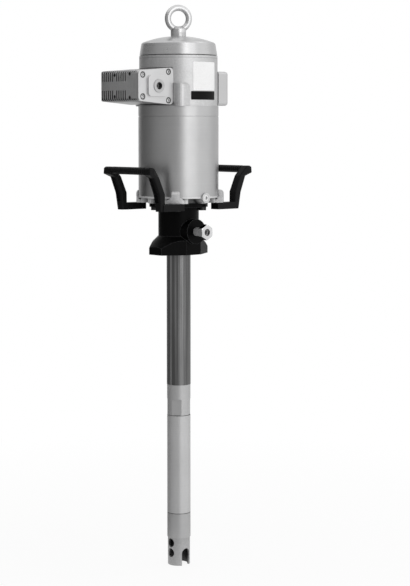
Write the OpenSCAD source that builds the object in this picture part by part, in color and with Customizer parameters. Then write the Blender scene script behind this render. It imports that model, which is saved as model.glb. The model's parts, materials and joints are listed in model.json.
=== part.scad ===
// Air-driven reciprocating piston pump with a long suction tube, in millimetres.
// The pump axis is Z. The origin is the centre of the lower mounting flange's bottom face.
// The air valve is on the -X side, the transfer cover on +X, air inlet and outlet point to -Y.

/* [Outlet body] */
// Height of the outlet body, from the lower flange's face to the motor base
body_h = 84; // [76:1:96]
// Radius of the outlet body's neck
neck_r = 33; // [30:0.5:36]
// Half length of the lower flange along X
flange_half_x = 49.8; // [46:0.2:54]
// Half length of the lower flange along Y
flange_half_y = 37; // [35:0.5:40]
// Half width of the lower flange's end faces
flange_end_half = 15.4; // [12:0.2:18]
// Height at which the lower flange's cone meets the neck
cone_top_z = 30; // [26:0.5:34]
// Radius of the upper flange
top_flange_r = 47.6; // [46.5:0.1:52]
// Thickness of the upper flange
top_flange_t = 7; // [5:0.5:10]
// Height of the outlet port's axis above the lower flange's face
outlet_z = 38; // [34:0.5:44]
// Radius of the outlet boss
outlet_boss_r = 20; // [17:0.5:22]
// Distance of the outlet boss's face from the axis
outlet_boss_y = 44; // [40:0.5:52]
// Radius of the circle of the upper flange's screws
body_screw_circle_r = 38.5; // [37:0.5:41]
// Radius of the heads of the upper flange's screws
body_screw_head_r = 6.5; // [5:0.25:7]
// Height of the heads of the upper flange's screws
body_screw_head_h = 6; // [4:0.5:8]
// Shank radius of the upper flange's screws
body_screw_r = 4; // [2.5:0.25:4.5]
// Thread length of the upper flange's screws in the base
body_screw_grip = 12; // [8:1:14]

/* [Outlet fitting] */
// Outer radius of the outlet nipple
nipple_r = 7; // [6:0.25:8]
// Bore radius of the outlet nipple
nipple_bore_r = 4.5; // [3:0.25:5]
// Length of the nipple that shows between boss and hexagon
nipple_gap = 17; // [10:0.5:24]
// Depth of the nipple's thread in the boss
nipple_thread = 13; // [8:0.5:14]
// Width across flats of the outlet hexagon
outlet_hex_af = 22; // [19:0.5:27]
// Length of the outlet hexagon
outlet_hex_len = 9; // [8:0.5:14]
// Depth of the nipple in the outlet hexagon
nipple_in_hex = 3.5; // [2:0.25:4]
// Wall radius of the threaded ports
port_r = 5.75; // [5:0.05:6]

/* [Suction tube] */
// Outer radius of the suction tube
tube_r = 19.6; // [18:0.1:21]
// Wall of the suction tube
tube_wall = 2.4; // [1.6:0.1:3]
// Length of the suction tube below the flange's face
tube_len = 214; // [180:1:400]
// Length of the suction tube inside the outlet body
tube_grip = 22; // [12:1:24]
// Length of the tube coupling
coupling_len = 50; // [40:1:70]
// Length of the band with wrench flats on the coupling
coupling_flats_len = 26; // [15:1:35]
// Width across the coupling's wrench flats
coupling_af = 35; // [34.6:0.1:37.6]
// Bore radius of the coupling
coupling_bore_r = 13.5; // [10:0.25:15]
// Length of the spigots that join tube, coupling and cylinder
spigot_len = 14; // [10:0.5:18]

/* [Pump cylinder and plunger] */
// Outer radius of the coupling, the pump cylinder and the foot valve's body
pump_r = 19.2; // [18.9:0.1:19.4]
// Depth of the grooves at the pump cylinder's ends
joint_groove = 0.8; // [0.4:0.1:1]
// Length of the pump cylinder
pump_len = 163; // [160:1:220]
// Bore radius of the pump cylinder
pump_bore_r = 14; // [12:0.25:15]
// Height of the plunger above the pump cylinder's lower end, at rest
plunger_rise = 13; // [12.5:0.5:20]
// Length of the plunger with its seat
plunger_len = 48; // [46:0.5:52]
// Height of the plunger's ball seat above the plunger's lower end
plunger_seat_rise = 16; // [16:0.5:17]
// Radius of the plunger's check ball
plunger_ball_r = 7; // [6:0.25:7.5]
// Radius of the hole in the plunger's seat
plunger_seat_r = 5; // [4:0.25:5.5]
// Lift of the plunger's check ball
plunger_ball_lift = 3; // [1.5:0.25:4]
// Radius of the connecting rod
connecting_rod_r = 6; // [5:0.25:7]
// Length of the connecting rod's threaded ends
rod_thread = 14; // [10:0.5:15]

/* [Foot valve] */
// Length of the foot valve body
foot_valve_len = 40; // [38:0.5:50]
// Radius of the foot valve's ball
foot_ball_r = 9; // [8:0.25:9.5]
// Radius of the hole in the foot valve's seat
foot_seat_r = 6.5; // [5:0.25:7]
// Lift of the foot valve's ball
foot_ball_lift = 6; // [3:0.25:6.5]
// Radius of the ball chamber
foot_chamber_r = 11.5; // [11:0.25:12.5]
// Height of the foot valve's seat ring
foot_seat_h = 9; // [7:0.5:10]
// Radius of the pin that stops the ball
stop_pin_r = 2; // [1.5:0.25:2.25]
// Length of the suction foot
foot_len = 46; // [42:1:60]
// Outer radius of the suction foot
foot_r = 18.2; // [17.5:0.05:19]
// Wall of the suction foot
foot_wall = 4; // [2.5:0.25:5]
// Radius of the round holes in the suction foot
foot_hole_r = 7.2; // [5:0.1:7.6]
// Distance between the two round holes
foot_hole_pitch = 16.5; // [15.6:0.1:18]
// Distance of the upper round holes from the top of the foot
foot_hole_drop = 9; // [8.5:0.5:11]
// Width of the arched slot in the suction foot
foot_slot_w = 15.5; // [10:0.5:18]
// Height of the arched slot in the suction foot
foot_slot_h = 28; // [20:0.5:32]

/* [Motor cylinder and piston] */
// Bore radius of the air motor
motor_bore_r = 57.5; // [55:0.25:60]
// Wall of the motor cylinder
motor_wall = 7.5; // [6:0.25:9]
// Length of the motor cylinder
cylinder_len = 144.5; // [144:0.5:200]
// Working stroke
stroke = 100; // [60:1:100]
// Distance of the fine groove from the cylinder's upper end
groove_drop = 17; // [8:0.5:40]
// Height of the air piston
piston_h = 19.4; // [18:0.1:20]
// Free height below the piston at rest
piston_gap = 1.3; // [1.2:0.05:1.4]
// Radius of the piston rod
rod_r = 10; // [9:0.25:11]
// Length of the piston rod below the piston
rod_len = 168.3; // [165:0.1:180]
// Radius of the rod's threaded end in the piston
rod_stud_r = 8; // [7:0.25:8.5]
// Width across flats of the piston nut
piston_nut_af = 24; // [22:0.5:26]
// Height of the piston nut
piston_nut_h = 9; // [7:0.5:10]

/* [Motor base] */
// Height of the base below the cylinder's seat
base_h = 11; // [10:0.5:16]
// Height of the base's spigot inside the cylinder
base_spigot_h = 12; // [11:0.5:13]
// Radius of the base's hub
base_hub_r = 46.5; // [46:0.25:50]
// Thickness of the plate under the cylinder
base_plate_t = 3; // [2.5:0.25:4]
// Number of ribs under the plate
rib_count = 12; // [12:12:24]
// Thickness of the ribs
rib_t = 7; // [5.5:0.5:9]
// Reach of the two lugs on the valve side
lug_reach_left = 68.7; // [67.5:0.1:76]
// Reach of the two lugs on the other side
lug_reach_right = 73.5; // [67.5:0.1:76]
// Height of the lugs
lug_h = 20.5; // [16:0.5:24]
// Half width of the lugs at their foot
lug_foot_half = 14; // [10:0.5:15]
// Half width of the lugs at their top
lug_top_half = 6.5; // [5:0.5:8]
// Radius of the plug boss
plug_boss_r = 8; // [7.5:0.25:9]
// Radius of the passage plug's head
plug_r = 5.5; // [4.5:0.25:6]
// Radius of the passage plug's thread
plug_thread_r = 1.6; // [1.5:0.05:1.7]

/* [Motor head] */
// Height of the motor head
head_h = 80.5; // [78:0.5:90]
// Outer radius of the motor head
head_r = 63.4; // [62:0.1:64]
// Height of the head's spigot inside the cylinder
head_spigot_h = 10.5; // [9:0.5:11]
// Half width of the saddle along Y
saddle_half_y = 58; // [54:0.5:60]
// Height of the saddle
saddle_h = 36.5; // [30:0.5:44]
// Rounding of the saddle's upright corners
saddle_corner_r = 12; // [8:0.5:16]
// Distance of the side faces from the axis
side_face_x = 48; // [46:0.25:50]
// Radius of the cavity in the head
head_cavity_r = 36; // [30:0.5:37]
// Height of the head's floor above the cylinder
head_floor_t = 14.5; // [13:0.5:16]

/* [Top cap] */
// Height of the cap's tapered side
cap_side_h = 21; // [16:0.5:30]
// Radius of the cap at its lower edge
cap_r = 62.9; // [61:0.1:63.4]
// Radius of the cap at its shoulder
cap_shoulder_r = 59.6; // [58:0.1:61]
// Rise of the dome
dome_rise = 11.5; // [8:0.5:16]
// Wall of the cap
cap_wall = 5; // [4:0.25:8]
// Length of the cap's threaded spigot in the head
cap_spigot_h = 12; // [8:0.5:13]
// Height of the boss under the lifting eye
eye_boss_h = 5.5; // [3:0.5:8]

/* [Lifting eye] */
// Inner radius of the eye
eye_inner_r = 12.5; // [10:0.25:15]
// Radius of the eye's round section
eye_wire_r = 5; // [4:0.25:6]
// Radius of the eye's collar
eye_collar_r = 12.4; // [11:0.1:13.5]
// Height of the eye's collar
eye_collar_h = 6; // [4:0.5:8]
// Radius of the eye's threaded shank
eye_shank_r = 5; // [4:0.25:6]
// Length of the eye's threaded shank
eye_shank_len = 17; // [12:0.5:18]
// Angle by which the eye is turned about the axis
eye_turn = -26; // [-90:1:90]

/* [Air valve] */
// Height of the valve's centre above the head's lower face
valve_rise = 31; // [30.5:0.25:33]
// Half height of the valve at the head
valve_half_in = 29.5; // [27:0.25:30]
// Half height of the valve at its outer end
valve_half_out = 23.5; // [22:0.25:26]
// Distance of the valve's outer face from the axis
valve_reach = 120; // [116:0.5:126]
// Distance of the muffler joint from the axis
muffler_joint = 100; // [98:0.5:102]
// Y of the inlet cover's outer face
valve_front_y = -43.5; // [-46:0.5:-41]
// Y of the valve's rear end
valve_rear_y = 53; // [50:0.5:56]
// Thickness of the inlet cover and of the rear cover
valve_cover_t = 6; // [5:0.25:8]
// Rounding of the valve's outer corners
valve_round_r = 6; // [3:0.5:8]
// Rounding of the valve's corners at the head
valve_inner_round_r = 7; // [3:0.5:8]
// Distance of the spool's axis from the pump axis
spool_x = 62.5; // [61.5:0.25:64]
// Radius of the spool's lands
spool_r = 6.5; // [5.5:0.25:7]
// Outer radius of the valve sleeve
sleeve_r = 10; // [9.5:0.25:10.5]
// Travel of the spool
spool_travel = 8; // [5:0.5:10]
// Distance of the air inlet from the pump axis
inlet_x = 80.5; // [80:0.25:82]
// Outer radius of the inlet bush
inlet_bush_r = 10.5; // [9:0.25:12]
// Height by which the inlet pad stands proud
inlet_pad_h = 3; // [1:0.25:5]
// Half width of the inlet pad along X
inlet_pad_half_x = 20; // [16:0.5:21]
// Half height of the inlet pad
inlet_pad_half_z = 16.5; // [13:0.5:17]
// Head radius of the valve's cover screws
cover_screw_head_r = 4.3; // [3.5:0.1:4.6]
// Shank radius of the valve's cover screws
cover_screw_r = 2.5; // [2:0.1:2.8]
// Distance of the front mounting screws from the valve body's front
mount_screw_front = 27.5; // [26:0.5:29]
// Distance of the rear mounting screws from the valve body's rear
mount_screw_rear = 20; // [18:0.5:22]
// Y of the first exhaust port
exhaust_y = 8; // [7:0.5:9]
// Pitch of the two exhaust ports
exhaust_pitch = 14; // [13:0.5:15]
// Thickness of the flat gaskets
gasket_t = 0.8; // [0.5:0.1:1.5]

/* [Muffler] */
// Number of slots in each row
slot_count = 12; // [6:1:12]
// Distance between slots
slot_pitch = 5.3; // [4.6:0.1:5.5]
// Width of a slot
slot_w = 2.6; // [1.5:0.1:3]
// Y of the first slot's centre
slot_first_y = -11; // [-11.5:0.5:-9]
// Half height of the solid band between the two slot rows
slot_band_half = 7; // [5:0.5:10]
// Wall of the muffler cover
muffler_wall = 3; // [2.5:0.25:4]
// Length of the muffler cover's solid front end
muffler_front = 20.5; // [20:0.5:22]

/* [Transfer cover] */
// Distance of the transfer cover's outer face from the axis
transfer_reach = 71; // [66:0.5:80]
// Half width of the transfer cover along Y
transfer_half_y = 43.5; // [41:0.5:46]
// Half height of the transfer cover
transfer_half_z = 27.7; // [25:0.1:30]
// Rounding of the transfer cover's edges
transfer_round_r = 5; // [2:0.5:7]
// Wall of the transfer cover
transfer_wall = 3.5; // [2.5:0.25:5]

/* [Handles] */
// Distance of the grip's axis from the pump axis
grip_x = 104; // [96:0.5:112]
// Height of the grip above the cylinder's seat
grip_rise = 42; // [36:1:60]
// Half length of the grip between its legs
grip_half = 58.5; // [56:0.5:66]
// Radius of the grip
grip_r = 6; // [5:0.25:8]
// Distance between ribs on the grip
grip_rib_pitch = 5; // [4:0.5:8]
// Thickness of the legs and feet
leg_t = 12.5; // [11:0.5:14]
// Width of the legs and feet
leg_w = 17; // [14:0.5:20]
// Distance of the legs' lower ends from the pump axis
leg_foot_x = 79; // [77:0.5:84]
// Y of the legs' lower ends and feet
leg_foot_y = 47.5; // [46:0.1:50]
// Drop of the leg's shoulder below the grip, and its distance inside the grip
shoulder_drop = 11; // [9:0.5:14]
shoulder_inset = 11.5; // [9:0.5:14]
// Drop of the leg's knee below the grip, and its distance outside the foot
knee_drop = 37; // [30:0.5:40]
knee_offset = 2.5; // [0:0.5:5]
// Distance of the feet's inner ends from the pump axis
foot_end_x = 36; // [35:0.5:38]
// Height of the feet
handle_foot_h = 11; // [9:0.5:12]
// X of the handle screws
handle_screw_x = 42; // [41:0.25:44]
// Y of the handle screws
handle_screw_y = 46; // [45:0.25:48]

/* [Fits] */
// Radial gap of fixed round fits
fit_gap = 0.1; // [0.05:0.01:0.2]
// Radial gap of running fits
run_gap = 0.05; // [0.02:0.01:0.1]
// Gap between a moving piece and what it seals on or stops at
soft_gap = 0.3; // [0.2:0.05:0.4]

/* [Hidden] */
$fn = 64;
corner_steps = 6;
eps = 0.01;

// Heights of the motor
seat_z = body_h + base_h;
head_z = seat_z + cylinder_len;
cap_z = head_z + head_h;
shoulder_z = cap_z + cap_side_h;
dome_z = shoulder_z + dome_rise;
eye_z = dome_z + eye_boss_h;
floor_z = seat_z + base_spigot_h;
ceiling_z = head_z - head_spigot_h;
piston_z = floor_z + piston_gap;
cylinder_r = motor_bore_r + motor_wall;
spigot_r = motor_bore_r - fit_gap;
cap_spigot_r = cap_r - 8;
head_cavity_top_z = cap_z - cap_spigot_h - 2;
head_floor_z = head_z + head_floor_t;

// Heights of the pump
coupling_z = -tube_len - coupling_len;
pump_z = coupling_z - pump_len;
foot_valve_z = pump_z - foot_valve_len;
foot_z = foot_valve_z - foot_len;
tube_bore_r = tube_r - tube_wall;
tube_thread_r = tube_r - 0.8;
rod_end_z = piston_z - rod_len;
plunger_z = pump_z + plunger_rise;

// Plug in the front of the base
plug_z = seat_z - 2.2;
plug_boss_y = cylinder_r + 2.8;

// Rod sealing in the outlet body
packing_r = 15;
packing_ring_h = 4.5;
packing_rings = 3;
gland_h = 5.5;
packing_z = body_h - gland_h - packing_rings * packing_ring_h - soft_gap;
chamber_r = tube_bore_r;
chamber_top_z = packing_z - 4;
rod_hole_r = rod_r + 0.5;
bush_r = 14;
bush_h = 13;
rod_seal_r = 16;
rod_seal_h = 7;

// Screws
handle_screw_r = 3;
handle_screw_head_r = 5;
handle_screw_head_h = 6;
handle_screw_grip = 9;
screw_socket_r = 2.3;
screw_socket_depth = 2.5;

// Pilot pins
pilot_x = 30;
pilot_pin_r = 3;
pilot_collar_r = 4.8;
pilot_collar_h = 2;
pilot_pocket_r = 5.2;
pilot_proud = 1;
pilot_travel = 3;
pilot_stem = 9;
pilot_spring_r = 3.8;
pilot_spring_wire = 0.4;
pilot_spring_len = 8;
pilot_spring_turns = 4;
pilot_plug_h = 3.8;

// Air passages
gallery_y = 40;
gallery_r = 2.5;
wall_gallery_r = 1.8;
upper_passage_x = 42;
upper_passage_r = 3.5;
wall_gallery_x = motor_bore_r + motor_wall / 2;
lower_passage_x = 50;
lower_passage_z = body_h + 5;

// Air valve
valve_z = head_z + valve_rise;
gallery_z = valve_z - 6.5;
valve_body_front_y = valve_front_y + valve_cover_t;
valve_body_rear_y = valve_rear_y - valve_cover_t;
valve_body_x = side_face_x + gasket_t;
valve_side_gap = 0.3;
spool_bore_r = spool_r + run_gap;
spool_len = valve_body_rear_y - valve_body_front_y - spool_travel - 2 * soft_gap;
spool_land = 11;
supply_r = 5;
inlet_gallery_len = 29.5;
inlet_cross_y = valve_body_front_y + inlet_gallery_len - 6;
mount_screw_ys = [valve_body_front_y + mount_screw_front, valve_body_rear_y - mount_screw_rear];
mount_screw_half_z = 18.5;
mount_screw_r = 3;
mount_screw_head_r = 5;
mount_screw_head_h = 6;
mount_screw_grip = 9;
inner_screw_x = 58.4;
inner_screw_half_z = 22.4;
outer_screw_x = 111;
outer_screw_half_z = 17;
rear_screw_points = [[inner_screw_x, inner_screw_half_z], [muffler_joint - 8, 21.3]];
cover_screw_len = 12;
cover_screw_head_h = 3;
muffler_inner_x = valve_reach - muffler_wall;
slot_depth = (valve_reach - muffler_joint) * 0.45;
muffler_front_y = valve_body_front_y + muffler_front;
muffler_post = [slot_first_y + slot_pitch * 5, 17];
muffler_screw_points = [[valve_body_front_y + 15.7, 18.5], muffler_post];
muffler_screw_r = 1.5;
muffler_screw_head_r = 2.8;
muffler_post_r = 4.2;

// Transfer cover
transfer_z = head_z + valve_rise - 2.5;
transfer_half_in_z = transfer_half_z - transfer_wall;
transfer_screw_y = transfer_half_y - 8;
transfer_screw_half_z = transfer_half_z - 5.5;
transfer_post_r = 5;
transfer_screw_r = 2;
transfer_screw_head_r = 3.5;

// Colours
cast_grey = [0.72, 0.73, 0.74];
turned_grey = [0.78, 0.79, 0.80];
steel_grey = [0.60, 0.61, 0.62];
dark_steel = [0.38, 0.38, 0.39];
mould_black = [0.07, 0.07, 0.07];
cast_black = [0.10, 0.10, 0.10];
seal_black = [0.05, 0.05, 0.05];

function unit(v) = v / norm(v);

// The arc that rounds corner b between neighbours a and c
function corner_arc(a, b, c, r) =
    let (
        u = unit(a - b),
        w = unit(c - b),
        half = acos(u * w) / 2,
        m = b + unit(u + w) * r / sin(half),
        s = b + u * r / tan(half),
        e = b + w * r / tan(half),
        a0 = atan2(s.y - m.y, s.x - m.x),
        a1 = atan2(e.y - m.y, e.x - m.x),
        turn = (a1 - a0 + 540) % 360 - 180
    )
    [for (i = [0:corner_steps]) let (a = a0 + turn * i / corner_steps) m + r * [cos(a), sin(a)]];

// A polygon with corner i rounded to radius r[i]
function rounded(p, r) =
    let (n = len(p))
    [for (i = [0:n - 1]) each corner_arc(p[(i + n - 1) % n], p[i], p[(i + 1) % n], r[i])];

function rectangle(x0, y0, x1, y1) = [[x0, y0], [x1, y0], [x1, y1], [x0, y1]];

// Half height of the valve at distance x from the axis
function valve_half(x) =
    valve_half_in + (valve_half_out - valve_half_in) * (x - side_face_x) / (valve_reach - side_face_x);

module rod(r, z0, z1) {
    translate([0, 0, z0]) cylinder(r = r, h = z1 - z0);
}

module ring(r_out, r_in, z0, z1) {
    difference() {
        rod(r_out, z0, z1);
        rod(r_in, z0 - eps, z1 + eps);
    }
}

// A cylinder along Y from y0 to y1
module rod_y(r, y0, y1) {
    translate([0, y1, 0]) rotate([90, 0, 0]) cylinder(r = r, h = y1 - y0);
}

// A cylinder along X from x0 to x1
module rod_x(r, x0, x1) {
    translate([x0, 0, 0]) rotate([0, 90, 0]) cylinder(r = r, h = x1 - x0);
}

// An outline in X and Z, extruded along Y from y0 to y1
module prism_y(y0, y1) {
    translate([0, y1, 0]) rotate([90, 0, 0]) linear_extrude(height = y1 - y0) children();
}

// An outline in Y and Z, extruded along X from x0 to x1
module prism_x(x0, x1) {
    translate([x0, 0, 0]) rotate([90, 0, 90]) linear_extrude(height = x1 - x0) children();
}

module hexagon(af, z0, z1) {
    translate([0, 0, z0]) cylinder(r = af / 2 / cos(30), h = z1 - z0, $fn = 6);
}

// A socket-head screw along Z: the shank rises from z = 0, the head hangs below it
module socket_screw(r, shank, head_r, head_h) {
    difference() {
        union() {
            rod(r, -eps, shank);
            rod(head_r, -head_h, 0);
        }
        hexagon(head_r, -head_h - eps, -head_h + head_h * 0.55);
    }
}

// A helical spring along Z, with open ends, from z0 over length h
module coil_spring(r, wire, turns, z0, h) {
    steps = 12;
    sides = 6;
    rings = turns * steps;
    points = [
        for (i = [0:rings])
            for (j = [0:sides - 1])
                let (a = i * 360 / steps, b = j * 360 / sides, q = r + wire * cos(b))
                [q * cos(a), q * sin(a), z0 + wire + (h - 2 * wire) * i / rings + wire * sin(b)]
    ];
    walls = [
        for (i = [0:rings - 1])
            for (j = [0:sides - 1])
                let (k = (j + 1) % sides)
                [i * sides + j, i * sides + k, (i + 1) * sides + k, (i + 1) * sides + j]
    ];
    first = [[for (j = [0:sides - 1]) sides - 1 - j]];
    last = [[for (j = [0:sides - 1]) rings * sides + j]];
    polyhedron(points = points, faces = concat(walls, first, last));
}

// Lifting eye: round ring on a collar with a threaded shank
module eye_bolt() {
    ring_r = eye_inner_r + eye_wire_r;
    web_z = eye_z + 2 * eye_wire_r;
    color(steel_grey) difference() {
        union() {
            translate([0, 0, eye_z + ring_r + eye_wire_r])
                rotate([0, 0, eye_turn]) rotate([90, 0, 0])
                    rotate_extrude() translate([ring_r, 0]) circle(r = eye_wire_r);
            rotate_extrude() polygon([
                [0, eye_z], [eye_collar_r, eye_z], [eye_collar_r, eye_z + eye_collar_h],
                [eye_wire_r + 3, web_z], [0, web_z]
            ]);
            rod(eye_shank_r, eye_z - eye_shank_len, eye_z + eps);
        }
        translate([0, 0, eye_z + ring_r + eye_wire_r]) rotate([0, 0, eye_turn])
            rod_y(eye_inner_r - 0.6, -eye_wire_r - eye_collar_r, eye_wire_r + eye_collar_r);
    }
}

// Height of the dome at radius r
function dome_height(r) =
    let (sphere_r = (pow(cap_shoulder_r, 2) + pow(dome_rise, 2)) / (2 * dome_rise))
    shoulder_z + dome_rise - sphere_r + sqrt(pow(sphere_r, 2) - pow(r, 2));

// Turned cap with a low dome, screwed into the head
module top_cap() {
    dome_steps = 8;
    boss_r = eye_collar_r;
    edge = 1.5;
    color(turned_grey) difference() {
        union() {
            rotate_extrude() polygon(concat(
                [[0, cap_z - cap_spigot_h], [cap_spigot_r, cap_z - cap_spigot_h], [cap_spigot_r, cap_z],
                 [cap_r - 1.4, cap_z], [cap_r - 1.4, cap_z + 1.2], [cap_r, cap_z + 1.6], [cap_shoulder_r + 0.3, shoulder_z - edge]],
                [for (i = [0:dome_steps])
                    let (r = (cap_shoulder_r - edge) * (1 - i / dome_steps) + boss_r * i / dome_steps)
                    [r, dome_height(r)]],
                [[boss_r, eye_z], [0, eye_z]]
            ));
        }
        rod(cap_spigot_r - cap_wall, cap_z - cap_spigot_h - eps, cap_z + cap_side_h - cap_wall - 3);
        rod(cap_spigot_r * 0.7, cap_z, shoulder_z);
        rod(eye_shank_r + fit_gap, eye_z - eye_shank_len - 1, eye_z + eps);
        ring(cap_spigot_r + 1, cap_spigot_r - 3, cap_z - 8, cap_z - 4);
    }
    color(turned_grey)
        ring(eye_shank_r + 6, eye_shank_r + fit_gap, eye_z - eye_shank_len - 1, dome_z - cap_wall);
}

module cap_seal() {
    color(seal_black)
        ring(cap_spigot_r, cap_spigot_r - 3 + fit_gap, cap_z - 8 + fit_gap, cap_z - 4 - fit_gap);
}

// The head's saddle behind the air valve, chamfered at the top
module saddle() {
    chamfer = 3;
    outline = rounded(
        rectangle(-side_face_x, -saddle_half_y, 0, saddle_half_y),
        [saddle_corner_r, 0.5, 0.5, saddle_corner_r]
    );
    intersection() {
        translate([0, 0, head_z]) linear_extrude(height = saddle_h) polygon(outline);
        prism_x(-side_face_x, side_face_x) polygon([
            [-saddle_half_y, head_z], [saddle_half_y, head_z], [saddle_half_y, head_z + saddle_h - chamfer],
            [saddle_half_y - chamfer, head_z + saddle_h], [-saddle_half_y + chamfer, head_z + saddle_h],
            [-saddle_half_y, head_z + saddle_h - chamfer]
        ]);
    }
}

// Upper casting: closes the cylinder, holds the air valve, the transfer cover and the cap
module motor_head() {
    face_depth = head_r - side_face_x + 1;
    color(cast_grey) difference() {
        union() {
            rod(head_r, head_z, cap_z);
            rod(spigot_r, ceiling_z, head_z + eps);
            saddle();
        }
        rod(head_cavity_r, head_floor_z, head_cavity_top_z + eps);
        rod(cap_spigot_r + fit_gap, head_cavity_top_z, cap_z + eps);
        translate([-side_face_x - face_depth, -head_r, valve_z - valve_half_in - valve_side_gap])
            cube([face_depth, 2 * head_r, 2 * (valve_half_in + valve_side_gap)]);
        translate([side_face_x, -head_r, transfer_z - transfer_half_z - valve_side_gap])
            cube([face_depth, 2 * head_r, 2 * (transfer_half_z + valve_side_gap)]);
        // Air passage into the upper chamber
        translate([0, 0, valve_z]) rod_x(upper_passage_r, -side_face_x - eps, -upper_passage_x);
        translate([-upper_passage_x, 0, 0]) rod(upper_passage_r, ceiling_z - eps, valve_z);
        // Air gallery across the head to the transfer cover
        translate([0, gallery_y, gallery_z]) rod_x(gallery_r, -side_face_x - eps, side_face_x + eps);
        translate([wall_gallery_x, 0, 0]) rod(wall_gallery_r, head_z - eps, head_z + 6);
        // Upper pilot pin
        translate([pilot_x, 0, 0]) {
            rod(pilot_pin_r + run_gap, ceiling_z - eps, ceiling_z + pilot_stem + 1);
            rod(pilot_pocket_r, ceiling_z + pilot_stem, head_floor_z + eps);
        }
        // Threads of the screws
        for (y = mount_screw_ys, s = [-1, 1])
            translate([0, y, valve_z + s * mount_screw_half_z])
                rod_x(mount_screw_r + fit_gap, -side_face_x - eps, -side_face_x + mount_screw_grip + 1);
        for (y = [-1, 1], s = [-1, 1])
            translate([0, y * transfer_screw_y, transfer_z + s * transfer_screw_half_z])
                rod_x(transfer_screw_r + fit_gap, side_face_x - 9, side_face_x + eps);
        // Groove of the seal in the cylinder
        ring(spigot_r + 1, spigot_r - 3, ceiling_z + 3, ceiling_z + 7);
    }
}

module head_seal() {
    color(seal_black)
        ring(spigot_r, spigot_r - 3 + fit_gap, ceiling_z + 3 + fit_gap, ceiling_z + 7 - fit_gap);
}

// Turned motor cylinder with a fine groove and a drilled air gallery in its wall
module motor_cylinder() {
    groove_w = 1.1;
    groove_depth = 0.8;
    color(turned_grey) difference() {
        ring(cylinder_r, motor_bore_r, seat_z, head_z);
        translate([0, 0, head_z - groove_drop]) ring(cylinder_r + 1, cylinder_r - groove_depth, 0, groove_w);
        translate([wall_gallery_x, 0, 0]) rod(wall_gallery_r, seat_z - eps, head_z + eps);
    }
}

// One lug of the base: wide at its foot, narrow above the cylinder's seat
module lug(reach) {
    foot_h = 5;
    top_z = body_h + lug_h;
    intersection() {
        rotate_extrude() polygon([
            [0, body_h], [reach, body_h], [reach, top_z - 5], [reach - 1.2, top_z - 1.8],
            [reach - 4, top_z], [0, top_z]
        ]);
        prism_x(base_hub_r - 2, reach + 1) polygon([
            [-lug_foot_half, body_h], [lug_foot_half, body_h], [lug_foot_half, body_h + foot_h],
            [lug_top_half, body_h + base_h], [lug_top_half, body_h + lug_h - 2],
            [lug_top_half - 2, body_h + lug_h], [2 - lug_top_half, body_h + lug_h],
            [-lug_top_half, body_h + lug_h - 2], [-lug_top_half, body_h + base_h],
            [-lug_foot_half, body_h + foot_h]
        ]);
    }
}

// Base of the air motor: hub, plate, ribs, four lugs and a plug boss
module base_casting() {
    rib_r = cylinder_r - 3;
    color(cast_grey) difference() {
        union() {
            rod(base_hub_r, body_h, seat_z);
            rod(cylinder_r, seat_z - base_plate_t, seat_z);
            rod(spigot_r, seat_z - eps, floor_z);
            for (a = [0:360 / rib_count:359])
                rotate([0, 0, a]) translate([0, -rib_t / 2, body_h]) cube([rib_r, rib_t, base_h]);
            difference() {
                union() {
                    for (a = [135, 225]) rotate([0, 0, a]) lug(lug_reach_left);
                    for (a = [45, 315]) rotate([0, 0, a]) lug(lug_reach_right);
                    translate([0, 0, plug_z]) rod_y(plug_boss_r, -plug_boss_y, -base_hub_r + 2);
                }
                rod(cylinder_r + soft_gap, seat_z, seat_z + lug_h);
            }
        }
        rod(bush_r, body_h - eps, body_h + bush_h + 1);
        rod(rod_seal_r, body_h + bush_h, floor_z + eps);
        ring(spigot_r + 1, spigot_r - 3, seat_z + 4, seat_z + 8);
        // Passage plug
        translate([0, 0, plug_z]) {
            rod_y(plug_r + fit_gap, -plug_boss_y - 1, -cylinder_r - soft_gap);
            rod_y(plug_thread_r + fit_gap, -plug_boss_y - 1, -base_hub_r + 5.5);
        }
        // Air passage into the lower chamber
        translate([wall_gallery_x, 0, 0]) rod(wall_gallery_r, lower_passage_z, seat_z + eps);
        translate([0, 0, lower_passage_z]) rod_x(wall_gallery_r, lower_passage_x, rib_r + 1);
        translate([lower_passage_x, 0, 0]) rod(wall_gallery_r, lower_passage_z, floor_z + eps);
        // Lower pilot pin
        translate([pilot_x, 0, 0]) {
            rod(pilot_pin_r + run_gap, floor_z - pilot_stem - 1, floor_z + eps);
            rod(pilot_pocket_r, body_h - eps, floor_z - pilot_stem);
        }
        // Threads of the screws
        for (a = [45:90:315])
            rotate([0, 0, a]) translate([body_screw_circle_r, 0, 0])
                rod(body_screw_r + fit_gap, body_h - eps, body_h + body_screw_grip + 1);
        for (x = [-1, 1], y = [-1, 1])
            translate([x * handle_screw_x, y * handle_screw_y, 0])
                rod(handle_screw_r + fit_gap, body_h - eps, body_h + handle_screw_grip + 0.5);
    }
}

module base_seal() {
    color(seal_black) ring(spigot_r, spigot_r - 3 + fit_gap, seat_z + 4 + fit_gap, seat_z + 8 - fit_gap);
}

// Socket plug in the front of the base
module passage_plug() {
    color(steel_grey) translate([0, 0, plug_z]) difference() {
        union() {
            rod_y(plug_r, -plug_boss_y + 0.3, -cylinder_r - soft_gap);
            rod_y(plug_thread_r, -plug_boss_y + 0.3, -base_hub_r + 5);
        }
        rotate([90, 0, 0]) hexagon(5, cylinder_r + soft_gap + 0.7, plug_boss_y + 1);
    }
}

module rod_bush() {
    color([0.72, 0.58, 0.32]) ring(bush_r - fit_gap, rod_r + run_gap, body_h, body_h + bush_h);
}

module rod_seal() {
    color(seal_black)
        ring(rod_seal_r - fit_gap, rod_r + run_gap, body_h + bush_h, body_h + bush_h + rod_seal_h);
}

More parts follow.
